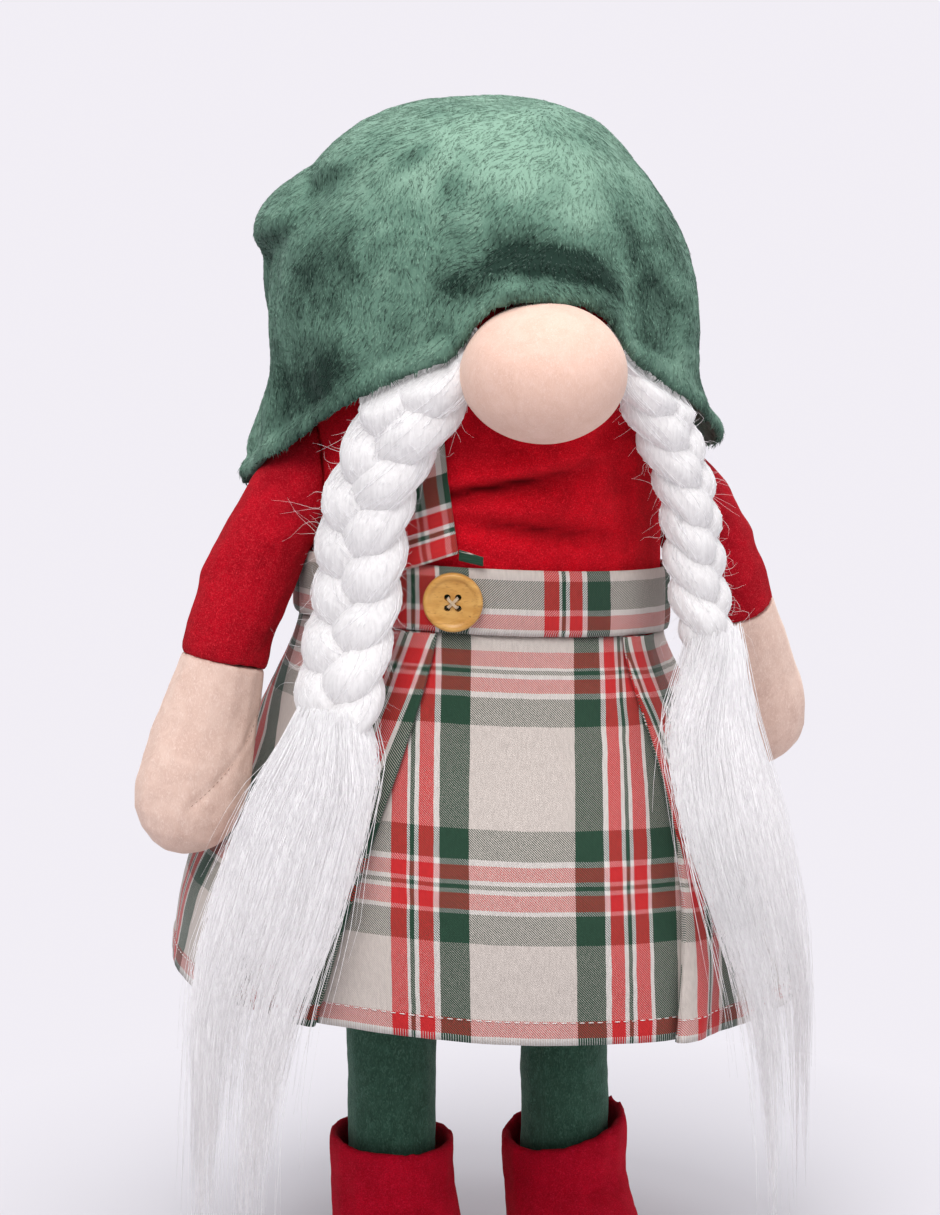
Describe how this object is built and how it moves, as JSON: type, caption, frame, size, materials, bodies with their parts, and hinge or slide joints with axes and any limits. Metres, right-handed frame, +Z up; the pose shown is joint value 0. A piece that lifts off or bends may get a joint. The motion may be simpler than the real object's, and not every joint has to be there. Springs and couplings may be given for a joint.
{
  "type": "christmas gnome figure",
  "caption": "Standing cloth gnome doll with a long plush hat, ball nose, white plaits, tartan pleated skirt with a strap and wooden button, stuffed arms and legs, and felt boots.",
  "frame": {"origin": "middle of the figure's box, on the plane its soles stand on", "axes": "+Z up, the figure faces -Y, +X to the right of the picture"},
  "size_m": [0.3048, 0.2376, 0.5139],
  "materials": {
    "green_plush": "short-pile velour plush, soft sheen",
    "red_felt": "matt felt with loose fibres",
    "peach_fleece": "matt brushed fleece",
    "tartan": "matt twill, woven check of red, green and cream",
    "button_wood": "turned wood, satin",
    "button_thread": "matt cotton thread",
    "white_hair": "fine faux hair, soft sheen",
    "hair_tie": "wound thread",
    "green_fleece": "matt brushed fleece",
    "sole_felt": "dense matt felt"
  },
  "bodies": {
    "root": {"hat": "green_plush", "nose": "peach_fleece", "stuffed_body": "red_felt", "waistband": "tartan", "shoulder_strap": "tartan", "skirt": "tartan", "button": "button_wood", "button_thread": "button_thread", "sleeve_minus_x": "red_felt", "sleeve_plus_x": "red_felt", "hand_minus_x": "peach_fleece", "hand_plus_x": "peach_fleece", "plait_minus_x": "white_hair", "plait_plus_x": "white_hair", "hair_tie_minus_x": "hair_tie", "hair_tie_plus_x": "hair_tie", "tassel_minus_x": "white_hair", "tassel_plus_x": "white_hair", "leg_minus_x": "green_fleece", "leg_plus_x": "green_fleece", "boot_minus_x": "red_felt", "boot_plus_x": "red_felt", "sole_minus_x": "sole_felt", "sole_plus_x": "sole_felt"}
  },
  "joints": []
}
